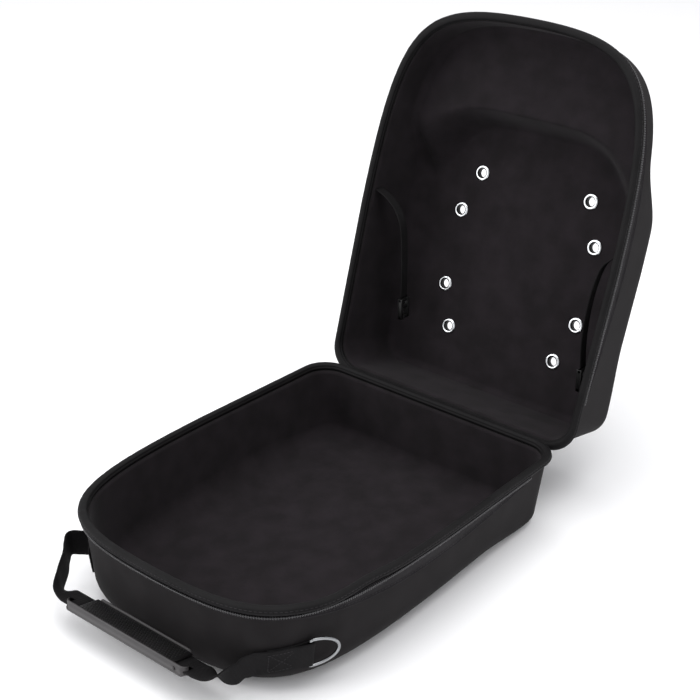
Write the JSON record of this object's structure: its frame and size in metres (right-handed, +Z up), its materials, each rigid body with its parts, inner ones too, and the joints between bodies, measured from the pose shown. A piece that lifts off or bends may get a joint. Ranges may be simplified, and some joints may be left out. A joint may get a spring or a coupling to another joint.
{
  "type": "cap carrier case",
  "caption": "Open moulded carrier case for peaked caps: hollow tray and hinged hollow lid with vent eyelets, zip, carry handle and wire rings.",
  "frame": {"origin": "middle of the tray's flat bottom, on the floor", "axes": "+X to the tray's right side, +Y to the hinge and the open lid, +Z up"},
  "size_m": [0.271, 0.5328, 0.3872],
  "materials": {
    "shell": "matte fabric over moulded foam board",
    "binding": "matte woven tape and padded binding",
    "zip": "moulded zip teeth",
    "webbing": "woven webbing",
    "grip": "satin moulded plastic",
    "steel": "polished nickel plate",
    "elastic": "woven elastic",
    "buckle": "moulded plastic"
  },
  "bodies": {
    "base": {"base_shell": "shell", "base_lip": "binding", "base_zip_tape": "binding", "base_zip_teeth": "zip", "zip_slider": "zip", "hinge_strip_base": "binding", "handle_grip": "grip", "handle_webbing_right": "webbing", "handle_webbing_left": "webbing", "d_ring_right": "steel", "d_ring_left": "steel"},
    "lid": {"lid_shell": "shell", "lid_lip": "binding", "lid_zip_tape": "binding", "lid_zip_teeth": "zip", "hinge_strip_lid": "binding", "strap_left": "elastic", "strap_right": "elastic", "buckle_left": "buckle", "buckle_right": "buckle", "eyelet_1": "steel", "eyelet_2": "steel", "eyelet_3": "steel", "eyelet_4": "steel", "eyelet_5": "steel", "eyelet_6": "steel", "eyelet_7": "steel", "eyelet_8": "steel"}
  },
  "joints": [
    {"name": "lid_hinge", "type": "hinge", "parent": "base", "child": "lid", "pos_m": [0, 0.173, 0.0613], "axis": [-1, 0, 0], "range_deg": [-106.5, 32]}
  ]
}
